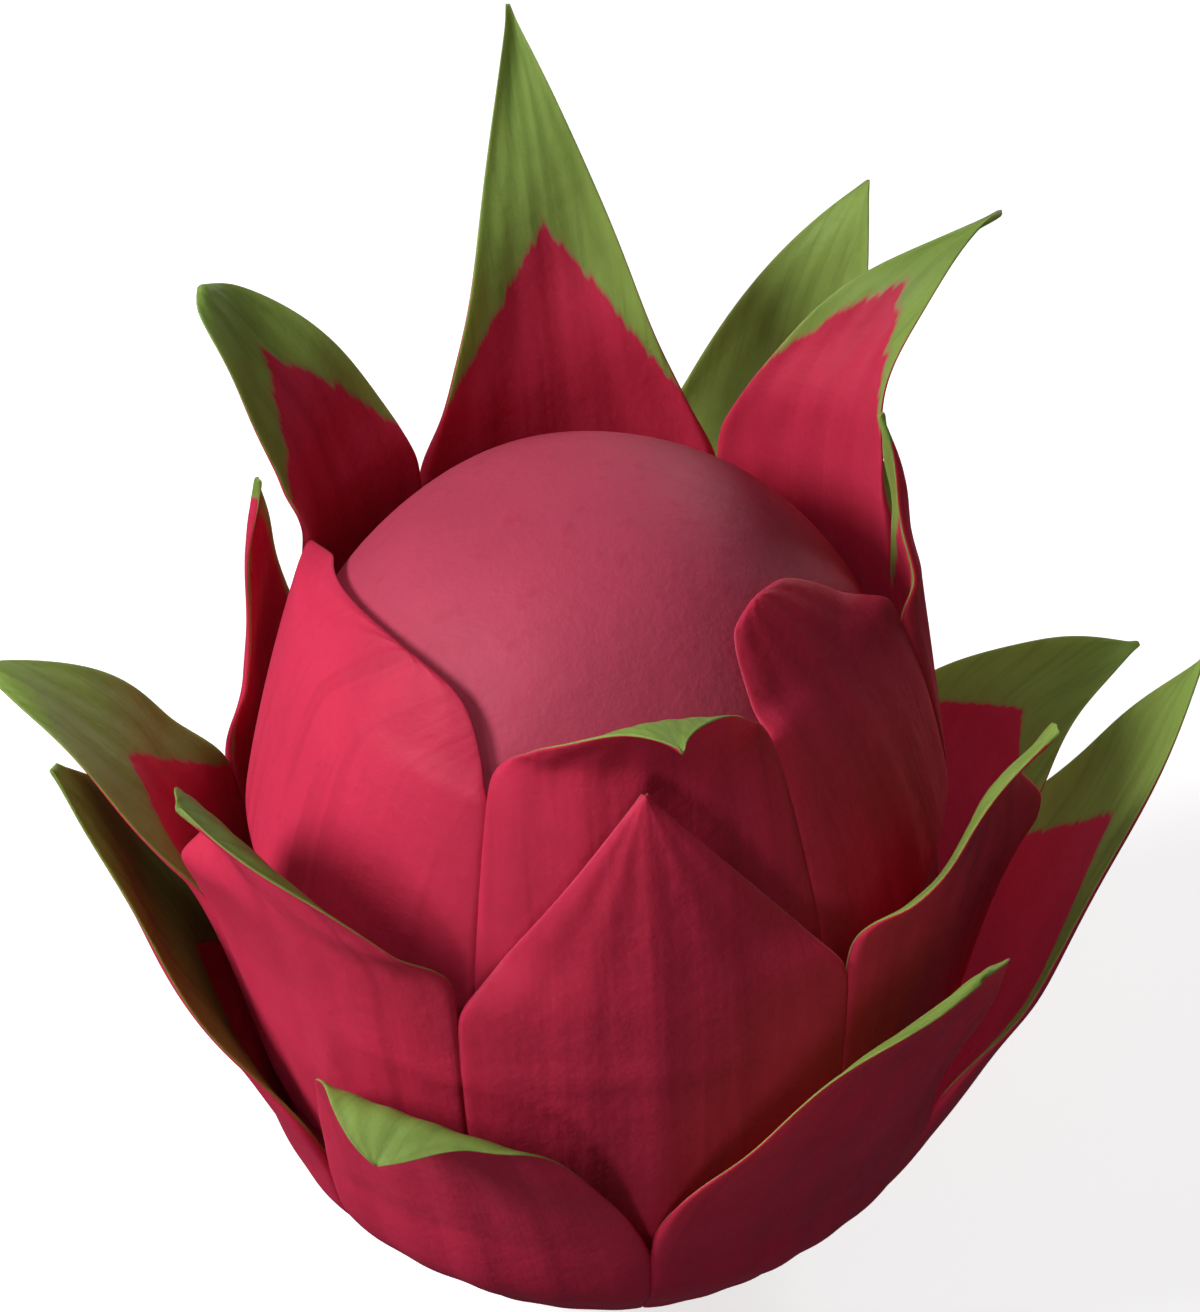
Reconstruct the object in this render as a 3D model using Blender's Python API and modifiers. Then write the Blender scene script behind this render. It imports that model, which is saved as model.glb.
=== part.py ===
"""Dragon fruit standing on its stem end: one fleshy body wrapped in three rings of leaf-like scales."""
import math

import bmesh
import bpy
from mathutils import Vector

MM = 0.001

# Body: an egg-shaped solid, cut flat at the stem end so that it stands by itself.
BODY_RADIUS = 43.5 * MM
BODY_HEIGHT = 118.0 * MM
BODY_WAIST_HEIGHT = 54.0 * MM
STEM_CUT = 1.5 * MM
UPPER_FULLNESS = 2.3
LOWER_FULLNESS = 2.3
BODY_SEGMENTS = 44
BODY_ROWS = 20

# Scales: all of them share one skin thickness and the same clearances.
SCALE_THICKNESS = 2.4 * MM
SEAT_GAP = 0.4 * MM
SEAM_GAP = 0.6 * MM
ROOT_THINNING = 0.3
TIP_THINNING = 0.4
MARGIN_THINNING = 0.4
TIP_HALF_WIDTH = 0.8 * MM
SCALE_COLUMNS = 8
SCALE_ROWS = 11

# Where each ring of scales leaves the body, measured up from the rest spot.
LOWER_ROOT = 8.0 * MM
MIDDLE_ROOT = 26.0 * MM
CROWN_ROOT = 66.0 * MM
ROOT_RAMP = 12.0 * MM

# One line per scale, in order around the ring. The columns are: name, bearing in degrees at which
# the scale starts (it ends where the next one starts, 0 is the front and 90 the right), radius and
# height of the bend, radius and height of the tip in millimetres, how far up the scale stays joined
# to its neighbours as a fraction of its length, roundness of its outline (1 is straight-sided), and
# sideways lean of the tip in degrees.
CROWN_SCALES = (
    ("crown_scale_front", -21, 26, 117, 48, 118, 0.55, 1.05, 4),
    ("crown_scale_front_right", 38, 37, 98, 24, 113, 0.74, 0.3, -8),
    ("crown_scale_right", 90, 41, 106, 37, 125, 0.5, 0.8, 0),
    ("crown_scale_rear_right", 110, 31, 122, 65, 133, 0.43, 1.15, -8),
    ("crown_scale_rear", 155, 33, 118, 61, 151, 0.38, 1.05, 4),
    ("crown_scale_rear_left", 211, 36, 108, 58.5, 128, 0.52, 0.5, 7),
    ("crown_scale_front_left", 243, 38, 99, 28, 110, 0.73, 0.42, 17),
)
MIDDLE_SCALES = (
    ("middle_scale_front", -22, 47, 84, 41, 106, 0.6, 0.95, 0),
    ("middle_scale_front_right", 38, 48, 90, 67, 112, 0.58, 0.9, -3),
    ("middle_scale_right", 78, 52, 74, 71, 82, 0.4, 1.1, -6),
    ("middle_scale_rear_right", 134, 48, 100, 66, 126, 0.58, 0.9, -7),
    ("middle_scale_rear", 170, 47, 76, 61, 86, 0.5, 0.9, -11),
    ("middle_scale_rear_left", 230, 47, 94, 43, 112, 0.42, 1.0, 8),
    ("middle_scale_left", 254, 49, 85, 77, 91, 0.52, 0.85, -7),
    ("middle_scale_front_left", 291, 47, 92, 61, 102, 0.62, 0.7, -10),
)
LOWER_SCALES = (
    ("lower_scale_front_left", -52, 49, 79, 63, 61, 0.36, 0.66, -4),
    ("lower_scale_front_right", 6, 53, 72, 65, 79, 0.42, 0.48, 15),
    ("lower_scale_right", 54, 60, 62, 77, 93, 0.5, 1.1, 5),
    ("lower_scale_rear_right", 112, 51, 50, 58, 70, 0.5, 0.9, 0),
    ("lower_scale_rear", 156, 52, 50, 62, 74, 0.5, 0.9, 0),
    ("lower_scale_rear_left", 200, 51, 50, 58, 70, 0.5, 0.9, 0),
    ("lower_scale_left", 246, 52, 62, 68, 87, 0.5, 1.1, 1),
)

# Sizes the table above is drawn for; the scales grow and shrink with the body.
DRAWN_RADIUS = 43.5
DRAWN_HEIGHT = 118.0
RADIUS_UNIT = BODY_RADIUS / DRAWN_RADIUS
HEIGHT_UNIT = BODY_HEIGHT / DRAWN_HEIGHT

# Each inner ring takes up its thickness and a seat gap under the ring outside it.
LAYER_STEP = SCALE_THICKNESS + SEAT_GAP
RINGS = (
    (CROWN_SCALES, CROWN_ROOT, ()),
    (MIDDLE_SCALES, MIDDLE_ROOT, (CROWN_ROOT,)),
    (LOWER_SCALES, LOWER_ROOT, (MIDDLE_ROOT, CROWN_ROOT)),
)


def smooth_step(value):
    """Ease from 0 to 1."""
    value = min(1.0, max(0.0, value))
    return value * value * (3.0 - 2.0 * value)


def body_radius_at(height, grow=0.0):
    """Radius of the body at a height, or of a skin lying `grow` outside it."""
    if height >= BODY_WAIST_HEIGHT:
        fraction = (height - BODY_WAIST_HEIGHT) / (BODY_HEIGHT - BODY_WAIST_HEIGHT + grow)
        fullness = UPPER_FULLNESS
    else:
        fraction = (BODY_WAIST_HEIGHT - height) / (BODY_WAIST_HEIGHT + STEM_CUT + grow)
        fullness = LOWER_FULLNESS
    fraction = min(1.0, fraction)
    return (BODY_RADIUS + grow) * (1.0 - fraction ** fullness) ** (1.0 / fullness)


def seat_radius_at(height, roots_beneath):
    """Radius at which the inner face of a scale clears everything it lies on."""
    grow = SEAT_GAP
    for root in roots_beneath:
        grow += LAYER_STEP * smooth_step((height - root + ROOT_RAMP) / ROOT_RAMP)
    return body_radius_at(height, grow)


def point_on_curve(controls, t):
    """Point on a cubic curve through four controls in the radius and height plane."""
    start, first, second, end = controls
    s = 1.0 - t
    return start * s ** 3 + first * 3.0 * s * s * t + second * 3.0 * s * t * t + end * t ** 3


def middle_rib(root, bend, tip, roots_beneath):
    """Radius and height along the middle of a scale, from its root to its tip."""
    start = Vector((seat_radius_at(root, ()), root))
    step = 0.5 * MM
    above = Vector((seat_radius_at(root + step, ()), root + step))
    rise = (above - start).normalized()
    first = start + rise * (bend - start).length * 0.45
    rib = []
    for row in range(SCALE_ROWS + 1):
        point = point_on_curve((start, first, bend, tip), row / SCALE_ROWS)
        if point.y < BODY_HEIGHT:
            point.x = max(point.x, seat_radius_at(point.y, roots_beneath))
        rib.append(point)
    return rib


def outward(rib, row):
    """Direction square to the rib, pointing away from the body."""
    along = rib[min(row + 1, SCALE_ROWS)] - rib[max(row - 1, 0)]
    return Vector((along.y, -along.x)).normalized()


def place(radius, height, bearing):
    """Point at a bearing around the standing axis; 0 is the front."""
    return Vector((radius * math.sin(bearing), -radius * math.cos(bearing), height))


def add_object(name, mesh, material, collection):
    """Put a finished mesh in the collection under its own name."""
    for polygon in mesh.polygons:
        polygon.use_smooth = True
    mesh.materials.append(material)
    thing = bpy.data.objects.new(name, mesh)
    collection.objects.link(thing)
    return thing


def make_scale(entry, next_bearing, root, roots_beneath, material, collection):
    """Loft one scale: a thin curved leaf whose section narrows from its root to its tip."""
    name, bearing, bend_r, bend_z, tip_r, tip_z, joined, roundness, lean = entry
    span = math.radians((next_bearing - bearing) % 360)
    centre = math.radians(bearing) + span / 2.0
    bend = Vector((bend_r * RADIUS_UNIT, bend_z * HEIGHT_UNIT))
    tip = Vector((tip_r * RADIUS_UNIT, tip_z * HEIGHT_UNIT))
    rib = middle_rib(root, bend, tip, roots_beneath)
    mesh_builder = bmesh.new()
    rings = []
    for row, point in enumerate(rib):
        along = row / SCALE_ROWS
        free = max(0.0, (along - joined) / (1.0 - joined))
        outline = (1.0 - free) ** roundness
        half = (span / 2.0) * outline - SEAM_GAP / 2.0 / point.x
        half = max(half, TIP_HALF_WIDTH / point.x)
        middle = centre + math.radians(lean) * free ** 1.3
        thickness = SCALE_THICKNESS * (1.0 - (1.0 - TIP_THINNING) * along)
        thickness *= ROOT_THINNING + (1.0 - ROOT_THINNING) * smooth_step(along / 0.15)
        facing = outward(rib, row)
        inner = []
        outer = []
        for column in range(SCALE_COLUMNS + 1):
            across = 2.0 * column / SCALE_COLUMNS - 1.0
            skin = thickness * (1.0 - (1.0 - MARGIN_THINNING) * across * across)
            turned = middle + across * half
            raised = point + facing * skin
            inner.append(mesh_builder.verts.new(place(point.x, point.y, turned)))
            outer.append(mesh_builder.verts.new(place(raised.x, raised.y, turned)))
        rings.append(inner + outer[::-1])
    count = len(rings[0])
    for low, high in zip(rings, rings[1:]):
        for index in range(count):
            following = (index + 1) % count
            mesh_builder.faces.new((low[index], low[following], high[following], high[index]))
    for ring in (rings[0], rings[-1]):
        for column in range(SCALE_COLUMNS):
            opposite = count - 1 - column
            mesh_builder.faces.new((ring[column], ring[column + 1], ring[opposite - 1], ring[opposite]))
    bmesh.ops.recalc_face_normals(mesh_builder, faces=mesh_builder.faces)
    mesh = bpy.data.meshes.new(name)
    mesh_builder.to_mesh(mesh)
    mesh_builder.free()
    return add_object(name, mesh, material, collection)


def make_body(material, collection):
    """Turn the body from half of its outline, top first, ending on the flat rest spot."""
    outline = []
    for row in range(BODY_ROWS + 1):
        height = BODY_HEIGHT * (1.0 + math.cos(math.pi * row / BODY_ROWS)) / 2.0
        outline.append((body_radius_at(height), height))
    outline[0] = (0.0, BODY_HEIGHT)
    outline.append((0.0, 0.0))
    mesh = bpy.data.meshes.new("fruit_body")
    points = [(radius, 0.0, height) for radius, height in outline]
    edges = [(index, index + 1) for index in range(len(points) - 1)]
    mesh.from_pydata(points, edges, [])
    body = add_object("fruit_body", mesh, material, collection)
    turn = body.modifiers.new("turn", "SCREW")
    turn.axis = "Z"
    turn.angle = math.tau
    turn.steps = BODY_SEGMENTS
    turn.render_steps = BODY_SEGMENTS
    turn.use_merge_vertices = True
    turn.merge_threshold = 0.00001
    turn.use_normal_calculate = True
    turn.use_smooth_shade = True
    return body


def make_material(name, color, roughness):
    """Plain skin finish."""
    material = bpy.data.materials.new(name)
    material.use_nodes = True
    shader = material.node_tree.nodes["Principled BSDF"]
    shader.inputs["Base Color"].default_value = (*color, 1.0)
    shader.inputs["Roughness"].default_value = roughness
    return material


def build():
    """Build the whole fruit in its own collection."""
    for thing in list(bpy.data.objects):
        bpy.data.objects.remove(thing, do_unlink=True)
    collection = bpy.data.collections.new("dragon_fruit")
    bpy.context.scene.collection.children.link(collection)
    make_body(make_material("body_skin", (0.45, 0.08, 0.12), 0.5), collection)
    colors = ((0.40, 0.02, 0.05), (0.36, 0.02, 0.05), (0.30, 0.01, 0.04))
    for (scales, root, roots_beneath), color in zip(RINGS, colors):
        for index, entry in enumerate(scales):
            next_bearing = scales[(index + 1) % len(scales)][1]
            material = make_material(entry[0] + "_skin", color, 0.5)
            make_scale(entry, next_bearing, root, roots_beneath, material, collection)


build()
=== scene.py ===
import math
import bmesh
import bpy
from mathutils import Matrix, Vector


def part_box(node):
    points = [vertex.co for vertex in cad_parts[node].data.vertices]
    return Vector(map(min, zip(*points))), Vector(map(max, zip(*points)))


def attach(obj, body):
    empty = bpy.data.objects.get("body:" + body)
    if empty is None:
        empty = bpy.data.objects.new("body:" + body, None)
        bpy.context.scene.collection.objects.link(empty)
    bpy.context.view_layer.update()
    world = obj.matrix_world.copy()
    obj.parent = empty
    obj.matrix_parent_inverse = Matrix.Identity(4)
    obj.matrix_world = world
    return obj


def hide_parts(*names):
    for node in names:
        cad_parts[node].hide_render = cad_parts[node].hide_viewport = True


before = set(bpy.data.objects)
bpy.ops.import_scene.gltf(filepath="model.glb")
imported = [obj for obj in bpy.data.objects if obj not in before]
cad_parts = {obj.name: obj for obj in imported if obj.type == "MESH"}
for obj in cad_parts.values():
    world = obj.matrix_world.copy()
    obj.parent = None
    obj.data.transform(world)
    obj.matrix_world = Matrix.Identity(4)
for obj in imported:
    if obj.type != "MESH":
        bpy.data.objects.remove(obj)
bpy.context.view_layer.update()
mm = 0.001

# the body's size comes from the frame, the rest describes its shape
bodyLow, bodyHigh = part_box("fruit_body")
body = {
    "radius": (bodyHigh[0] - bodyLow[0]) / 2,
    "height": bodyHigh[2],
    "waist": 54 * mm,         # height of the widest part
    "stemCut": 1.5 * mm,      # how much of the stem end is pressed flat
    "upperFullness": 2.3,     # 2 is an ellipse, more is boxier
    "lowerFullness": 2.3,
    "segments": 112,
    "rows": 72,
    "swell": 0.35 * mm,       # broad unevenness of the skin
    "swellFadeLow": 10 * mm,  # it dies away near the stem end and near the top
    "swellFadeHigh": 12 * mm,
}


def bodyRadiusAt(height, grow=0.0):
    if height >= body["waist"]:
        fraction = (height - body["waist"]) / (body["height"] - body["waist"] + grow)
        fullness = body["upperFullness"]
    else:
        fraction = (body["waist"] - height) / (body["waist"] + body["stemCut"] + grow)
        fullness = body["lowerFullness"]
    return (body["radius"] + grow) * (1.0 - min(1.0, fraction) ** fullness) ** (1.0 / fullness)


def easeIn(value):
    value = min(1.0, max(0.0, value))
    return value * value * (3.0 - 2.0 * value)


# bearing 0 is the front of the fruit, a quarter turn on is its right
def place(radius, height, bearing):
    return Vector((radius * math.sin(bearing), -radius * math.cos(bearing), height))


# node helpers
def newMaterial(name):
    material = bpy.data.materials.new(name)
    material.use_nodes = True
    tree = material.node_tree
    tree.nodes.clear()
    output = tree.nodes.new("ShaderNodeOutputMaterial")
    shader = tree.nodes.new("ShaderNodeBsdfPrincipled")
    tree.links.new(shader.outputs["BSDF"], output.inputs["Surface"])
    return material, tree, shader


def noise(tree, coords, scale, detail=3.0, roughness=0.55, stretch=(1.0, 1.0, 1.0)):
    mapping = tree.nodes.new("ShaderNodeMapping")
    mapping.inputs["Scale"].default_value = stretch
    tree.links.new(coords, mapping.inputs["Vector"])
    node = tree.nodes.new("ShaderNodeTexNoise")
    node.inputs["Scale"].default_value = scale
    node.inputs["Detail"].default_value = detail
    node.inputs["Roughness"].default_value = roughness
    tree.links.new(mapping.outputs["Vector"], node.inputs["Vector"])
    return node.outputs["Fac"]


def calc(tree, operation, *values):
    node = tree.nodes.new("ShaderNodeMath")
    node.operation = operation
    for socket, value in zip(node.inputs, values):
        if isinstance(value, (int, float)):
            socket.default_value = value
        else:
            tree.links.new(value, socket)
    return node.outputs[0]


def ramp(tree, value, low, high, top=1.0):
    node = tree.nodes.new("ShaderNodeMapRange")
    node.interpolation_type = "SMOOTHSTEP"
    node.inputs["From Min"].default_value = low
    node.inputs["From Max"].default_value = high
    node.inputs["To Max"].default_value = top
    tree.links.new(value, node.inputs["Value"])
    return node.outputs["Result"]


def blend(tree, factor, first, second):
    node = tree.nodes.new("ShaderNodeMix")
    node.data_type = "RGBA"
    for index, value in ((0, factor), (6, first), (7, second)):
        if isinstance(value, tuple):
            node.inputs[index].default_value = (*value, 1.0)
        else:
            tree.links.new(value, node.inputs[index])
    return node.outputs[2]


# the same color with darker and lighter clouds in it
def clouded(tree, clouds, color, darker, lighter):
    dark = tuple(part * darker for part in color)
    light = tuple(part * lighter for part in color)
    return blend(tree, ramp(tree, clouds, 0.32, 0.68), dark, light)


# roughness varies with the flecks, and flecks and fine grain stand up a little
def finishSurface(tree, shader, finish, color, flecks, height):
    tree.links.new(color, shader.inputs["Base Color"])
    lowest = finish["roughness"] - finish["roughnessSpread"] / 2
    roughness = calc(tree, "MULTIPLY_ADD", flecks, finish["roughnessSpread"], lowest)
    tree.links.new(roughness, shader.inputs["Roughness"])
    bump = tree.nodes.new("ShaderNodeBump")
    bump.inputs["Strength"].default_value = finish["reliefStrength"]
    bump.inputs["Distance"].default_value = finish["relief"]
    tree.links.new(height, bump.inputs["Height"])
    tree.links.new(bump.outputs["Normal"], shader.inputs["Normal"])
    shader.inputs["Specular IOR Level"].default_value = finish["gloss"]


rindFinish = {
    "cap": (0.52, 0.058, 0.112),        # pale pink skin at the top
    "under": (0.50, 0.012, 0.058),      # crimson skin near the stem end
    "underFrom": 30 * mm,               # heights between which crimson turns to pink
    "underTo": 75 * mm,
    "fleck": (0.47, 0.035, 0.075),
    "stem": (0.22, 0.13, 0.06),         # corky scar where the stem was cut
    "stemFrom": 0.6 * mm,
    "stemTo": 1.6 * mm,
    "cloudScale": 30.0,
    "fleckScale": 330.0,
    "poreScale": 1400.0,
    "roughness": 0.60,
    "roughnessSpread": 0.20,
    "relief": 0.5 * mm,
    "reliefStrength": 0.35,
    "gloss": 0.18,
}
scaleFinish = {
    "pink": (0.68, 0.032, 0.088),
    "pinkDeep": (0.47, 0.018, 0.055),
    "innerShadePink": (0.42, 0.022, 0.055),  # painted shade: a darker copy of the pink for the side that faces the fruit
    "under": (0.52, 0.010, 0.058),      # the pink turns crimson low down
    "underFrom": 10 * mm,
    "underTo": 60 * mm,
    "green": (0.235, 0.345, 0.070),
    "greenDeep": (0.160, 0.250, 0.048),
    "border": (0.300, 0.235, 0.080),    # thin line where the pink meets the green
    "raggedness": 3.0 * mm,             # how far fibres carry the green into the pink
    "cloudScale": 42.0,
    "fleckScale": 420.0,
    "veins": (330.0, 14.0, 1.0),        # close across the scale, drawn out along it
    "fibres": (900.0, 40.0, 1.0),
    "roughness": 0.58,
    "roughnessSpread": 0.20,
    "relief": 0.5 * mm,
    "reliefStrength": 0.35,
    "gloss": 0.18,
    "softness": 0.4,                    # share of light that passes through the thin scales
    "softReach": 2.5 * mm,
}


def makeRindFinish():
    finish = rindFinish
    material, tree, shader = newMaterial("rindFinish")
    coords = tree.nodes.new("ShaderNodeTexCoord").outputs["Object"]
    split = tree.nodes.new("ShaderNodeSeparateXYZ")
    tree.links.new(coords, split.inputs["Vector"])
    clouds = noise(tree, coords, finish["cloudScale"])
    flecks = noise(tree, coords, finish["fleckScale"], 4.0, 0.6)
    pores = noise(tree, coords, finish["poreScale"], 2.0)
    # crimson low down, pale pink above, flecked all over
    height = calc(tree, "MULTIPLY_ADD", clouds, 20 * mm, split.outputs["Z"])
    cap = clouded(tree, clouds, finish["cap"], 0.90, 1.08)
    color = blend(tree, ramp(tree, height, finish["underFrom"], finish["underTo"]), finish["under"], cap)
    color = blend(tree, ramp(tree, flecks, 0.54, 0.74, 0.40), color, finish["fleck"])
    # corky stem scar with an uneven edge
    reach = calc(tree, "MULTIPLY_ADD", flecks, 1.2 * mm, split.outputs["Z"])
    color = blend(tree, ramp(tree, reach, finish["stemFrom"], finish["stemTo"]), finish["stem"], color)
    finishSurface(tree, shader, finish, color, flecks, calc(tree, "MULTIPLY_ADD", pores, 0.3, flecks))
    return material


def makeScaleFinish():
    finish = scaleFinish
    material, tree, shader = newMaterial("scaleFinish")
    coords = tree.nodes.new("ShaderNodeTexCoord").outputs["Object"]
    split = tree.nodes.new("ShaderNodeSeparateXYZ")
    tree.links.new(coords, split.inputs["Vector"])
    grain, edge, inner = (tree.nodes.new("ShaderNodeAttribute") for _ in range(3))
    grain.attribute_name = "leafPlace"
    edge.attribute_name = "greenEdge"
    inner.attribute_name = "innerFace"
    clouds = noise(tree, coords, finish["cloudScale"])
    flecks = noise(tree, coords, finish["fleckScale"], 4.0, 0.6)
    veins = noise(tree, grain.outputs["Vector"], 1.0, 2.0, 0.5, finish["veins"])
    fibres = noise(tree, grain.outputs["Vector"], 1.0, 3.0, 0.6, finish["fibres"])
    # pink ground, clouded and streaked with deeper veins
    color = clouded(tree, clouds, finish["pink"], 0.88, 1.07)
    # painted shade: the side that faces the fruit is dimmed towards a darker copy of the pink
    color = blend(tree, ramp(tree, inner.outputs["Fac"], 0.3, 0.7, 0.55), color, finish["innerShadePink"])
    height = calc(tree, "MULTIPLY_ADD", clouds, 20 * mm, split.outputs["Z"])
    color = blend(tree, ramp(tree, height, finish["underFrom"], finish["underTo"]), finish["under"], color)
    color = blend(tree, ramp(tree, veins, 0.50, 0.72, 0.40), color, finish["pinkDeep"])
    color = blend(tree, ramp(tree, flecks, 0.58, 0.76, 0.30), color, finish["pinkDeep"])
    # green margins and tip
    green = clouded(tree, clouds, finish["green"], 0.90, 1.10)
    green = blend(tree, ramp(tree, fibres, 0.46, 0.70, 0.55), green, finish["greenDeep"])
    uneven = calc(tree, "SUBTRACT", fibres, 0.5)
    ragged = calc(tree, "MULTIPLY_ADD", uneven, finish["raggedness"], edge.outputs["Fac"])
    color = blend(tree, ramp(tree, ragged, -0.5 * mm, 0.2 * mm), color, finish["border"])
    color = blend(tree, ramp(tree, ragged, 0.0, 0.9 * mm), color, green)
    finishSurface(tree, shader, finish, color, flecks, calc(tree, "MULTIPLY_ADD", veins, 1.2, flecks))
    shader.inputs["Subsurface Weight"].default_value = finish["softness"]
    shader.inputs["Subsurface Radius"].default_value = (1.0, 0.95, 0.7)
    shader.inputs["Subsurface Scale"].default_value = finish["softReach"]
    return material


rindSkin = makeRindFinish()
scaleSkin = makeScaleFinish()
print("finishes made")


def addPiece(name, bm, material, nodeName, levels):
    mesh = bpy.data.meshes.new(name)
    bm.to_mesh(mesh)
    bm.free()
    mesh.polygons.foreach_set("use_smooth", [True] * len(mesh.polygons))
    mesh.materials.append(material)
    piece = bpy.data.objects.new(name, mesh)
    bpy.context.scene.collection.objects.link(piece)
    if levels:
        smoothing = piece.modifiers.new("smoothing", "SUBSURF")
        smoothing.levels = levels
        smoothing.render_levels = levels
    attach(piece, "root")
    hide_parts(nodeName)


def makeBody():
    bm = bmesh.new()
    rows = body["rows"]
    profile = []
    for row in range(rows + 1):
        height = body["height"] * (1.0 + math.cos(math.pi * row / rows)) / 2.0
        radius = bodyRadiusAt(height) if row else 0.0
        profile.append(bm.verts.new((radius, 0.0, height)))
    profile.append(bm.verts.new((0.0, 0.0, 0.0)))
    for upper, lower in zip(profile, profile[1:]):
        bm.edges.new((upper, lower))
    bmesh.ops.spin(bm, geom=bm.verts[:] + bm.edges[:], cent=(0, 0, 0), axis=(0, 0, 1), dvec=(0, 0, 0),
                   angle=math.tau, steps=body["segments"], use_merge=True)
    bmesh.ops.remove_doubles(bm, verts=bm.verts[:], dist=0.02 * mm)
    bmesh.ops.recalc_face_normals(bm, faces=bm.faces[:])
    bm.normal_update()
    # five broad ribs and three broader ones, both winding a little
    for vert in bm.verts:
        height = vert.co.z
        bearing = math.atan2(vert.co.x, -vert.co.y)
        fade = easeIn(height / body["swellFadeLow"])
        fade *= easeIn((body["height"] - height) / body["swellFadeHigh"])
        swell = math.sin(bearing * 5 + 0.7 + height * 20) + math.sin(bearing * 3 - 1.1 - height * 60)
        vert.co += vert.normal * swell * 0.5 * body["swell"] * fade
    addPiece("fruitBody", bm, rindSkin, "fruit_body", 0)


makeBody()
print("body made")

# start: bearing where the scale begins (degrees, 0 is the front, 90 the right), it ends where the next begins
# bend, tip: radius and height of the rib's bend and tip, in millimetres
# joined: share of the length grown together with its neighbours
# roundness: outline of the free part, 1 is straight-sided, less is blunter
# lean: how far the tip turns aside, in degrees
# green: where along the inner face the green margins start, and where the pink wedge ends
# tipGreen: where along the outer face the tip turns green, past 1 it never does
# cup, twist, wave: how the free part curls inwards, turns and ripples
crownScales = {
    "crown_scale_front": {
        "start": -21, "bend": (26, 117), "tip": (48, 118), "joined": 0.55, "roundness": 1.05, "lean": 4,
        "green": (0.45, 0.6), "tipGreen": 1.0, "cup": -0.1, "twist": 0.0, "wave": 0.3,
    },
    "crown_scale_front_right": {
        "start": 38, "bend": (37, 98), "tip": (24, 113), "joined": 0.74, "roundness": 0.3, "lean": -8,
        "green": (0.9, 1.1), "tipGreen": 1.1, "cup": 0.0, "twist": 0.0, "wave": 0.0,
    },
    "crown_scale_right": {
        "start": 90, "bend": (41, 106), "tip": (37, 125), "joined": 0.5, "roundness": 0.8, "lean": 0,
        "green": (0.45, 0.75), "tipGreen": 0.94, "cup": 0.05, "twist": 0.0, "wave": 0.3,
    },
    "crown_scale_rear_right": {
        "start": 110, "bend": (31, 122), "tip": (65, 133), "joined": 0.43, "roundness": 1.15, "lean": -8,
        "green": (0.6, 0.84), "tipGreen": 0.94, "cup": 0.1, "twist": 0.0, "wave": 0.5,
    },
    "crown_scale_rear": {
        "start": 155, "bend": (33, 118), "tip": (61, 151), "joined": 0.38, "roundness": 1.05, "lean": 4,
        "green": (0.5, 0.75), "tipGreen": 0.94, "cup": 0.1, "twist": 0.0, "wave": 0.4,
    },
    "crown_scale_rear_left": {
        "start": 211, "bend": (36, 108), "tip": (58.5, 128), "joined": 0.52, "roundness": 0.5, "lean": 7,
        "green": (0.6, 0.86), "tipGreen": 0.94, "cup": 0.05, "twist": 0.0, "wave": 0.5,
    },
    "crown_scale_front_left": {
        "start": 243, "bend": (38, 99), "tip": (28, 110), "joined": 0.73, "roundness": 0.42, "lean": 17,
        "green": (0.9, 1.1), "tipGreen": 1.1, "cup": 0.0, "twist": 0.0, "wave": 0.0,
    },
}
middleScales = {
    "middle_scale_front": {
        "start": -22, "bend": (47, 84), "tip": (41, 106), "joined": 0.6, "roundness": 0.95, "lean": 0,
        "green": (0.7, 0.9), "tipGreen": 1.1, "cup": 0.0, "twist": 0.0, "wave": 0.2,
    },
    "middle_scale_front_right": {
        "start": 38, "bend": (48, 90), "tip": (67, 112), "joined": 0.58, "roundness": 0.9, "lean": -3,
        "green": (0.45, 0.7), "tipGreen": 0.98, "cup": -0.2, "twist": -0.1, "wave": 0.4,
    },
    "middle_scale_right": {
        "start": 78, "bend": (52, 74), "tip": (71, 82), "joined": 0.4, "roundness": 1.1, "lean": -6,
        "green": (0.45, 0.7), "tipGreen": 0.94, "cup": 0.0, "twist": 0.0, "wave": 0.4,
    },
    "middle_scale_rear_right": {
        "start": 134, "bend": (48, 100), "tip": (66, 126), "joined": 0.58, "roundness": 0.9, "lean": -7,
        "green": (0.4, 0.55), "tipGreen": 0.94, "cup": 0.1, "twist": 0.0, "wave": 0.4,
    },
    "middle_scale_rear": {
        "start": 170, "bend": (47, 76), "tip": (61, 86), "joined": 0.5, "roundness": 0.9, "lean": -11,
        "green": (0.55, 0.78), "tipGreen": 0.94, "cup": 0.1, "twist": 0.0, "wave": 0.4,
    },
    "middle_scale_rear_left": {
        "start": 230, "bend": (47, 94), "tip": (43, 112), "joined": 0.42, "roundness": 1.0, "lean": 8,
        "green": (0.5, 0.92), "tipGreen": 0.94, "cup": 0.05, "twist": 0.0, "wave": 0.3,
    },
    "middle_scale_left": {
        "start": 254, "bend": (49, 85), "tip": (77, 91), "joined": 0.52, "roundness": 0.85, "lean": -7,
        "green": (0.5, 0.72), "tipGreen": 0.94, "cup": 0.0, "twist": 0.1, "wave": 0.4,
    },
    "middle_scale_front_left": {
        "start": 291, "bend": (47, 92), "tip": (61, 102), "joined": 0.62, "roundness": 0.7, "lean": -10,
        "green": (0.45, 0.7), "tipGreen": 0.98, "cup": -0.09, "twist": 0.1, "wave": 0.4,
    },
}
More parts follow.
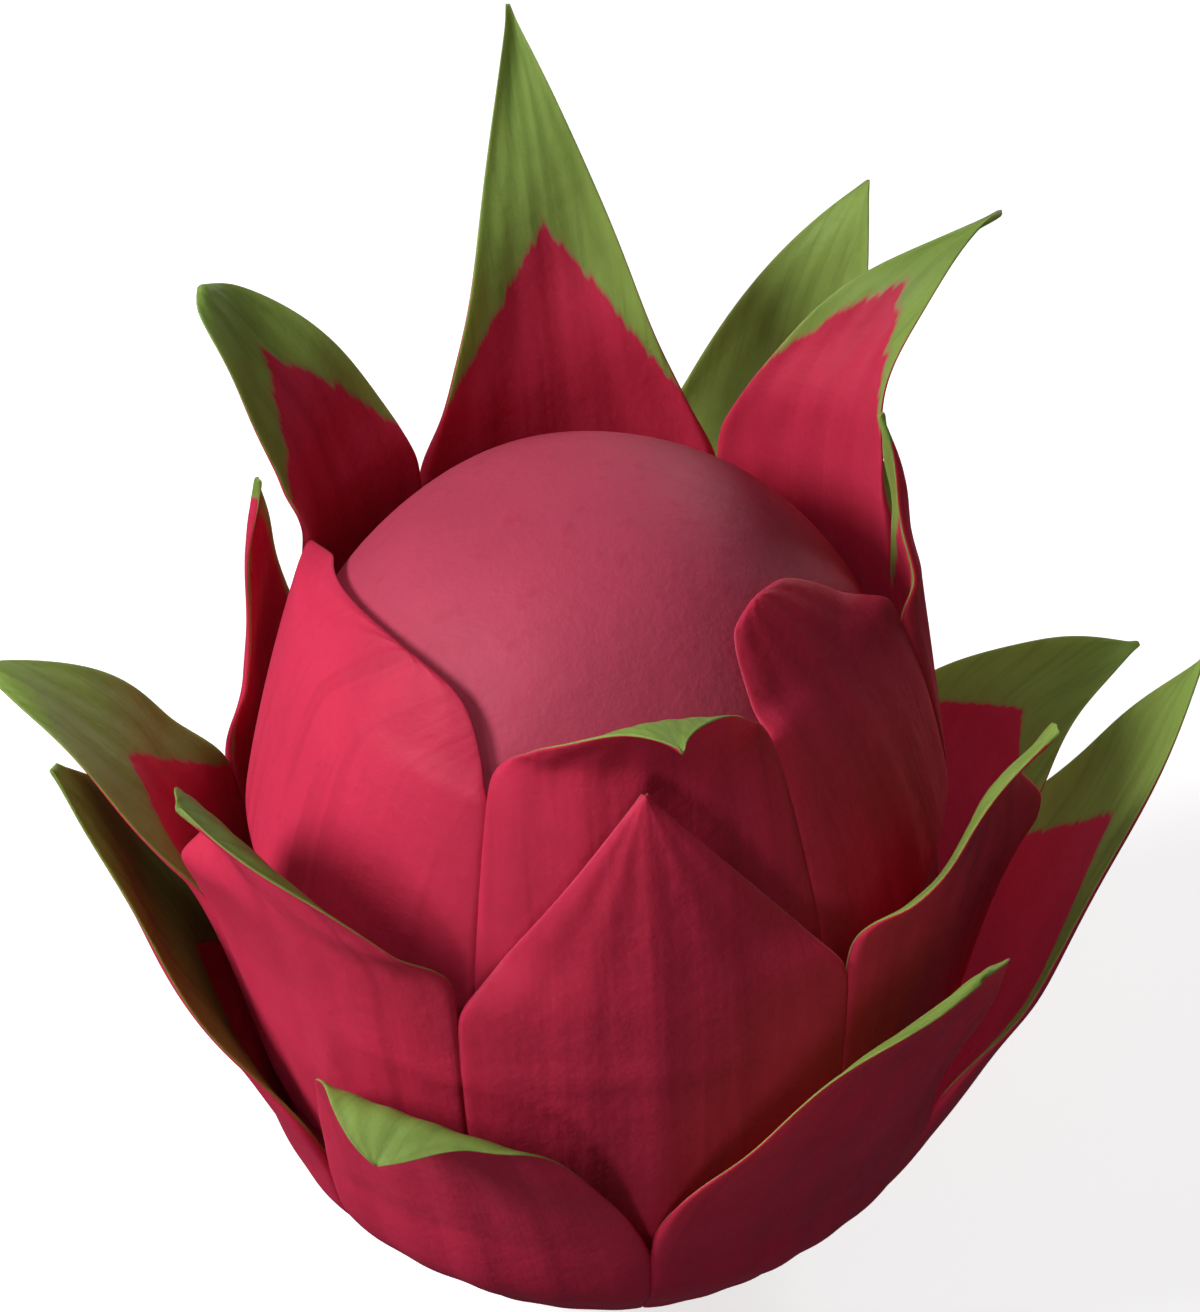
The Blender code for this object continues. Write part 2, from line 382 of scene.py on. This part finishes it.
lowerScales = {
    "lower_scale_front_left": {
        "start": -52, "bend": (49, 79), "tip": (63, 61), "joined": 0.36, "roundness": 0.66, "lean": -4,
        "green": (0.3, 0.5), "tipGreen": 1.0, "cup": -0.05, "twist": 0.12, "wave": 0.3,
    },
    "lower_scale_front_right": {
        "start": 6, "bend": (53, 72), "tip": (65, 79), "joined": 0.42, "roundness": 0.48, "lean": 15,
        "green": (0.42, 0.6), "tipGreen": 1.0, "cup": -0.16, "twist": 0.0, "wave": 0.3,
    },
    "lower_scale_right": {
        "start": 54, "bend": (60, 62), "tip": (77, 93), "joined": 0.5, "roundness": 1.1, "lean": 5,
        "green": (0.5, 0.76), "tipGreen": 0.94, "cup": 0.0, "twist": 0.0, "wave": 0.4,
    },
    "lower_scale_rear_right": {
        "start": 112, "bend": (51, 50), "tip": (58, 70), "joined": 0.5, "roundness": 0.9, "lean": 0,
        "green": (0.5, 0.76), "tipGreen": 0.94, "cup": 0.1, "twist": 0.0, "wave": 0.4,
    },
    "lower_scale_rear": {
        "start": 156, "bend": (52, 50), "tip": (62, 74), "joined": 0.5, "roundness": 0.9, "lean": 0,
        "green": (0.5, 0.76), "tipGreen": 0.94, "cup": 0.1, "twist": 0.0, "wave": 0.4,
    },
    "lower_scale_rear_left": {
        "start": 200, "bend": (51, 50), "tip": (58, 70), "joined": 0.5, "roundness": 0.9, "lean": 0,
        "green": (0.5, 0.76), "tipGreen": 0.94, "cup": 0.1, "twist": 0.0, "wave": 0.4,
    },
    "lower_scale_left": {
        "start": 246, "bend": (52, 62), "tip": (68, 87), "joined": 0.5, "roundness": 1.1, "lean": 1,
        "green": (0.4, 0.62), "tipGreen": 0.94, "cup": -0.05, "twist": 0.2, "wave": 0.4,
    },
}
scaleMaking = {
    "columns": 28,
    "rows": 56,
    "thickness": 2.4 * mm,
    "seat": 0.1 * mm,           # how far the inner face stands off what it lies on
    "layer": 2.8 * mm,          # room that each inner ring takes up under the ring outside it
    "rootRamp": 12 * mm,        # height over which that room opens
    "rootShare": 0.10,          # share of the thickness left at the root
    "rootLength": 0.15,         # share of the length over which the root thickens
    "tipShare": 0.30,           # share of the thickness left at the tip
    "marginShare": 0.35,        # and at a free margin
    "tipHalfWidth": 0.3 * mm,
    "overlap": 0.35 * mm,       # how far neighbours run into each other where they are joined
    "reach": 5 * mm,            # most that a margin moves to run level with its neighbour
    "notch": 0.07,              # how gently the margins part from their neighbours
    "keel": 0.35 * mm,          # raised midrib on the outer face
    "keelWidth": 2.2 * mm,
    "pleat": 0.10 * mm,         # fine ribs along the length
    "pleatHalves": 5,
    "pleatWidth": 12 * mm,      # half width at which the pleats have their full depth
    "rippleRate": 21,           # ripples of a free margin along its length, their slant,
    "rippleSlant": 2.3,         # and how much one scale's ripples are ahead of the last one's
    "rippleLead": 1.7,
    "grainLength": 80 * mm,     # length that the vein pattern takes each scale to have
    "grainStep": 0.1,           # keeps the pattern of one scale off the next one's
}
crownRoot, middleRoot, lowerRoot = 66 * mm, 26 * mm, 3.5 * mm
# each ring with the height of its roots and of the roots beneath it
rings = (
    ("crown", crownScales, crownRoot, ()),
    ("middle", middleScales, middleRoot, (crownRoot,)),
    ("lower", lowerScales, lowerRoot, (middleRoot, crownRoot)),
)


def seatRadiusAt(height, rootsBeneath):
    grow = scaleMaking["seat"]
    for root in rootsBeneath:
        opened = easeIn((height - root + scaleMaking["rootRamp"]) / scaleMaking["rootRamp"])
        grow += scaleMaking["layer"] * opened
    return bodyRadiusAt(height, grow)


# a point on a scale's midrib, as its radius and height
def ribPoint(shape, root, rootsBeneath, along):
    start = Vector((seatRadiusAt(root, ()), root))
    tangent = Vector((seatRadiusAt(root + mm, ()), root + mm)) - start
    bend = Vector(shape["bend"]) * mm
    tip = Vector(shape["tip"]) * mm
    first = start + tangent.normalized() * (bend - start).length * 0.45
    rest = 1.0 - along
    point = start * rest ** 3 + first * 3 * rest ** 2 * along
    point += bend * 3 * rest * along ** 2 + tip * along ** 3
    if point.y < body["height"]:
        point.x = max(point.x, seatRadiusAt(point.y, rootsBeneath))
    return point


def radiusOf(rib, height):
    for lower, upper in zip(rib, rib[1:]):
        if lower.y <= height <= upper.y:
            return lower.x + (upper.x - lower.x) * (height - lower.y) / max(upper.y - lower.y, 0.001 * mm)
    return rib[0].x if height < rib[0].y else max(rib, key=lambda point: point.y).x


# 0 where a scale is joined to its neighbours, 1 at its tip
def freeShare(shape, along):
    raw = (along - shape["joined"]) / (1.0 - shape["joined"])
    notch = scaleMaking["notch"]
    return min(1.0, (raw + math.hypot(raw, notch)) / (1.0 + math.hypot(1.0, notch)))


def outlineHalf(shape, span, free):
    return span / 2 * (1.0 - free) ** shape["roundness"]


# how far a point of a scale leaves the plain sweep of its midrib
def curl(shape, number, across, along, free, width):
    leave = -shape["cup"] * width * across * across * easeIn(free * 2.0)
    leave += shape["twist"] * width * across * free
    ripple = along * scaleMaking["rippleRate"] + number * scaleMaking["rippleLead"]
    ripple += across * scaleMaking["rippleSlant"]
    leave += shape["wave"] * mm * easeIn(free * 3.0) * math.sin(ripple)
    pleat = scaleMaking["pleat"] * min(1.0, width / scaleMaking["pleatWidth"])
    return leave + pleat * math.cos(across * scaleMaking["pleatHalves"] * math.pi) * easeIn(along * 4.0)


def thicknessAt(across, along, free, width):
    making = scaleMaking
    thickness = making["thickness"] * (1.0 - (1.0 - making["tipShare"]) * along)
    thickness *= making["rootShare"] + (1.0 - making["rootShare"]) * easeIn(along / making["rootLength"])
    thickness *= 1.0 - (1.0 - making["marginShare"]) * abs(across) ** 3 * easeIn(free * 5.0)
    ridge = math.exp(-(across * width / making["keelWidth"]) ** 2) * easeIn(along * 3.0) * (1.0 - along)
    return thickness + making["keel"] * ridge


# a grid is laid as the inner face, and extruded outwards by the thickness of the scale
def makeScale(nodeName, shape, nextStart, ribs, number):
    rows = scaleMaking["rows"]
    grainLength = scaleMaking["grainLength"]
    span = math.radians((nextStart - shape["start"]) % 360)
    centre = math.radians(shape["start"]) + span / 2
    before, rib, after = ribs
    greenFrom, pinkTo = shape["green"]
    # half width of the pink wedge where the green margins start
    wedge = rib[min(rows, round(greenFrom * rows))].x * outlineHalf(shape, span, freeShare(shape, greenFrom))

    bm = bmesh.new()
    bmesh.ops.create_grid(bm, x_segments=scaleMaking["columns"], y_segments=rows, size=1.0)
    leafPlace = bm.verts.layers.float_vector.new("leafPlace")
    greenEdge = bm.verts.layers.float.new("greenEdge")
    innerFace = bm.verts.layers.float.new("innerFace")
    skinRise = bm.verts.layers.float_vector.new("skinRise")
    for vert in bm.verts:
        across, along = vert.co.x, (vert.co.y + 1.0) / 2.0
        row = round(along * rows)
        point = rib[row]
        ahead = rib[min(row + 1, rows)] - rib[max(row - 1, 0)]
        facing = Vector((ahead.y, -ahead.x)).normalized()
        free = freeShare(shape, along)
        half = max(outlineHalf(shape, span, free), scaleMaking["tipHalfWidth"] / point.x)
        half += scaleMaking["overlap"] / point.x * (1.0 - easeIn(free * 6.0))
        width = half * point.x
        bearing = centre + math.radians(shape["lean"]) * free ** 1.3 + across * half
        # margins run level with their neighbours until they part from them
        beside = radiusOf(after if across > 0 else before, point.y)
        shift = max(-scaleMaking["reach"], min(scaleMaking["reach"], (beside - point.x) / 2))
        base = Vector((point.x + shift * across ** 2 * (1.0 - easeIn(free * 4.0)), point.y))
        base += facing * curl(shape, number, across, along, free, width)
        outer = base + facing * thicknessAt(across, along, free, width)
        vert.co = place(base.x, base.y, bearing)
        vert[skinRise] = place(outer.x, outer.y, bearing) - vert.co
        vert[innerFace] = 1.0
        vert[leafPlace] = Vector((across * width, along * grainLength, number * scaleMaking["grainStep"]))
        vert[greenEdge] = abs(across) * width - wedge * (pinkTo - along) / (pinkTo - greenFrom)
    grown = bmesh.ops.extrude_face_region(bm, geom=bm.faces[:], use_keep_orig=True)
    for item in grown["geom"]:
        if isinstance(item, bmesh.types.BMVert):
            item.co += item[skinRise]
            item[innerFace] = 0.0
            item[greenEdge] = item[leafPlace].y - grainLength * shape["tipGreen"]
    bmesh.ops.recalc_face_normals(bm, faces=bm.faces[:])
    words = nodeName.split("_")
    name = words[0] + "".join(word.capitalize() for word in words[1:])
    addPiece(name, bm, scaleSkin, nodeName, 1)


number = 0
for ringName, ring, root, rootsBeneath in rings:
    names = list(ring)
    rows = scaleMaking["rows"]
    ribs = [[ribPoint(ring[name], root, rootsBeneath, row / rows) for row in range(rows + 1)]
            for name in names]
    for index, nodeName in enumerate(names):
        after = (index + 1) % len(names)
        nextStart = ring[names[after]]["start"]
        neighbours = (ribs[index - 1], ribs[index], ribs[after])
        makeScale(nodeName, ring[nodeName], nextStart, neighbours, number)
        number += 1
    print(ringName, "scales made")


# bearing and elevation in degrees, 0 is in front of the fruit and minus is to its left
lights = {
    "keyLight": {
        "bearing": -76, "elevation": 35, "distance": 1.2, "size": 0.45, "power": 11.0, "shadow": True,
    },
    "softener": {   # from above, lightens the insides of the scales
        "bearing": -62, "elevation": 62, "distance": 1.2, "size": 0.45, "power": 3.0, "shadow": False,
    },
    "fillLight": {
        "bearing": -18, "elevation": 4, "distance": 1.5, "size": 0.4, "power": 2.6, "shadow": True,
    },
    "rimLight": {   # from behind on the right, for the shaded side
        "bearing": 152, "elevation": 16, "distance": 1.3, "size": 0.5, "power": 4.5, "shadow": True,
    },
}
studio = {
    "floorSize": 6.0,
    "floorTone": (0.86, 0.86, 0.86),
    "floorGlow": 0.60,
    "worldLight": 0.07,
    "backdrop": 0.68,        # how bright the empty background looks, without lighting the fruit
}


def addLights():
    middle = Vector((0.0, 0.0, body["height"] / 2))
    for name, setting in lights.items():
        data = bpy.data.lights.new(name, "AREA")
        data.shape = "DISK"
        data.size = setting["size"]
        data.energy = setting["power"]
        data.use_shadow = setting["shadow"]
        light = bpy.data.objects.new(name, data)
        bearing, elevation = math.radians(setting["bearing"]), math.radians(setting["elevation"])
        towards = place(math.cos(elevation), math.sin(elevation), bearing)
        light.location = middle + towards * setting["distance"]
        light.rotation_euler = (middle - light.location).to_track_quat("-Z", "Y").to_euler()
        bpy.context.scene.collection.objects.link(light)


def addFloor():
    bm = bmesh.new()
    bmesh.ops.create_grid(bm, x_segments=2, y_segments=2, size=studio["floorSize"])
    mesh = bpy.data.meshes.new("floor")
    bm.to_mesh(mesh)
    bm.free()
    material, tree, shader = newMaterial("floorPaint")
    coords = tree.nodes.new("ShaderNodeTexCoord").outputs["Object"]
    darker = tuple(part * 0.98 for part in studio["floorTone"])
    tone = blend(tree, noise(tree, coords, 2.0), darker, studio["floorTone"])
    tree.links.new(tone, shader.inputs["Base Color"])
    shader.inputs["Roughness"].default_value = 0.9
    shader.inputs["Emission Color"].default_value = (1.0, 1.0, 1.0, 1.0)
    shader.inputs["Emission Strength"].default_value = studio["floorGlow"]
    mesh.materials.append(material)
    floor = bpy.data.objects.new("floor", mesh)
    bpy.context.scene.collection.objects.link(floor)
    # it throws no light or reflection on to the fruit
    floor.visible_diffuse = False
    floor.visible_glossy = False


def addWorld():
    world = bpy.data.worlds.new("studioWorld")
    world.use_nodes = True
    background = world.node_tree.nodes["Background"]
    background.inputs["Color"].default_value = (1.0, 1.0, 1.0, 1.0)
    seen = world.node_tree.nodes.new("ShaderNodeLightPath").outputs["Is Camera Ray"]
    extra = studio["backdrop"] - studio["worldLight"]
    strength = calc(world.node_tree, "MULTIPLY_ADD", seen, extra, studio["worldLight"])
    world.node_tree.links.new(strength, background.inputs["Strength"])
    bpy.context.scene.world = world


addFloor()
addLights()
addWorld()
bpy.context.scene.view_settings.view_transform = "Standard"
print("studio made")

view = {
    "target": (0.0011, 0.0, 0.0934),
    "elevation": 40,
    "distance": 0.8,
    "lens": 175.6,
    "sensor": 36,
    "roll": 2.2,             # degrees that the view is turned about its own axis
}


def placeCamera():
    data = bpy.data.cameras.new("camera")
    data.lens = view["lens"]
    data.sensor_width = view["sensor"]
    camera = bpy.data.objects.new("camera", data)
    bpy.context.scene.collection.objects.link(camera)
    target = Vector(view["target"])
    elevation = math.radians(view["elevation"])
    camera.location = target + place(math.cos(elevation), math.sin(elevation), 0.0) * view["distance"]
    turn = (target - camera.location).to_track_quat("-Z", "Y").to_matrix().to_4x4()
    camera.rotation_euler = (turn @ turn.Rotation(math.radians(-view["roll"]), 4, "Z")).to_euler()
    bpy.context.scene.camera = camera


placeCamera()
print("camera placed")
